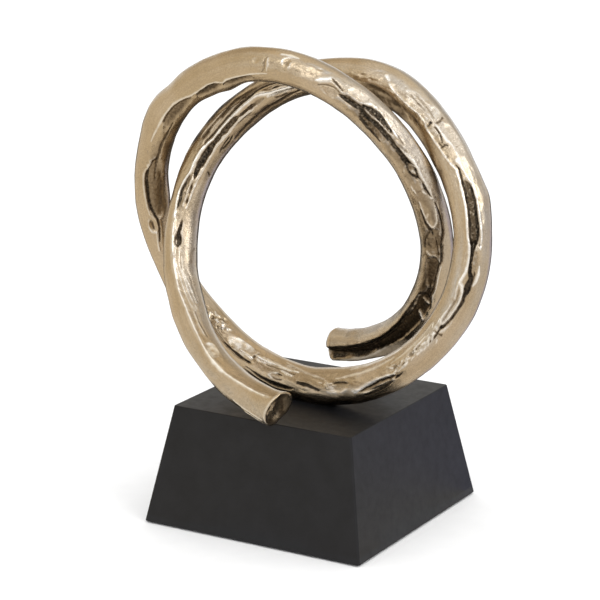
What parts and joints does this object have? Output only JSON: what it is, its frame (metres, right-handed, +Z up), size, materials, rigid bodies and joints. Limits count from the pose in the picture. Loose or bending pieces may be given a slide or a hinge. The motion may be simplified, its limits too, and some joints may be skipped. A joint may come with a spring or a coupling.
{
  "type": "knot sculpture",
  "caption": "Tabletop sculpture: a hand-hammered golden metal bar coiled into two open leaning turns with free tails, standing on a tapered square black block.",
  "frame": {"origin": "middle of the felt underside, on the table, under the middle of the base", "axes": "+Z up, +X to the right along the base's front edge, -Y to the front, where the front tail points"},
  "size_m": [0.2687, 0.1811, 0.3311],
  "materials": {
    "knot_metal": "cast aluminium, hammered and polished to an antique brass colour, dark patina in the channel",
    "base_lacquer": "satin charcoal black lacquer on a wooden block",
    "felt": "black wool felt",
    "screw_steel": "zinc-plated steel"
  },
  "bodies": {
    "root": {"knot_bar": "knot_metal", "base_block": "base_lacquer", "base_felt": "felt", "screw_left": "screw_steel", "screw_right": "screw_steel", "spring_washer_left": "screw_steel", "spring_washer_right": "screw_steel", "washer_left": "screw_steel", "washer_right": "screw_steel"}
  },
  "joints": []
}
